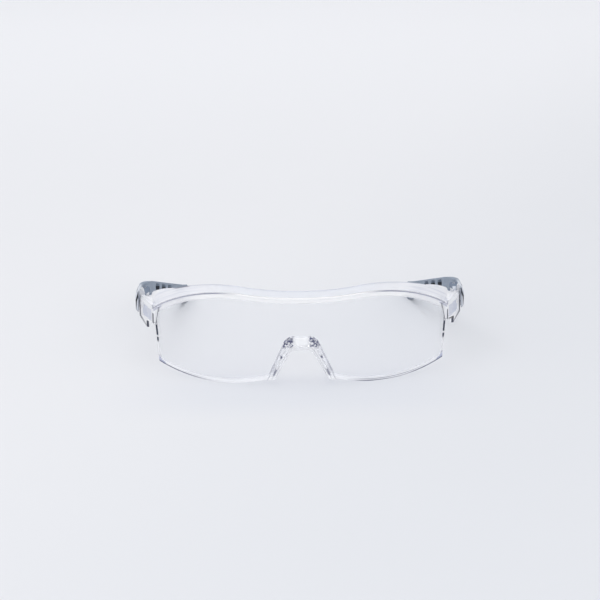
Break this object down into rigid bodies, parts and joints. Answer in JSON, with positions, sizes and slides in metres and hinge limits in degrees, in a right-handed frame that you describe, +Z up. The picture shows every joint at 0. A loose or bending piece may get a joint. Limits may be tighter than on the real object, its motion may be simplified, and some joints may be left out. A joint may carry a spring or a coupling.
{
  "type": "safety overglasses",
  "caption": "Clear safety overglasses with a curved one-piece lens, brow shelf, side wings and nose bridge, and grey vented temples that fold inwards.",
  "frame": {"origin": "middle of the bounding box at the level of the floor, with the glasses standing open on the lower edge of the lens and the ends of the temples", "axes": "+Z up, -Y the way the wearer looks, +X to the right of a viewer who faces the front of the lens"},
  "size_m": [0.167, 0.1624, 0.0483],
  "materials": {
    "clear_lens": "clear polished polycarbonate",
    "clear_frame": "clear polished moulding",
    "clear_bridge": "clear polished moulding",
    "clear_pin": "clear moulded pin",
    "grey_temple": "satin slate grey moulding"
  },
  "bodies": {
    "front": {"lens": "clear_lens", "brow_frame": "clear_frame", "nose_bridge": "clear_bridge", "hinge_pins": "clear_pin"},
    "left_arm": {"left_temple": "grey_temple"},
    "right_arm": {"right_temple": "grey_temple"}
  },
  "joints": [
    {"name": "left_temple_fold", "type": "hinge", "parent": "front", "child": "left_arm", "pos_m": [-0.07865, -0.03342, 0.03435], "axis": [0, 0, -1], "range_deg": [0, 90]},
    {"name": "right_temple_fold", "type": "hinge", "parent": "front", "child": "right_arm", "pos_m": [0.07865, -0.03342, 0.03435], "axis": [0, 0, 1], "range_deg": [0, 80]}
  ]
}
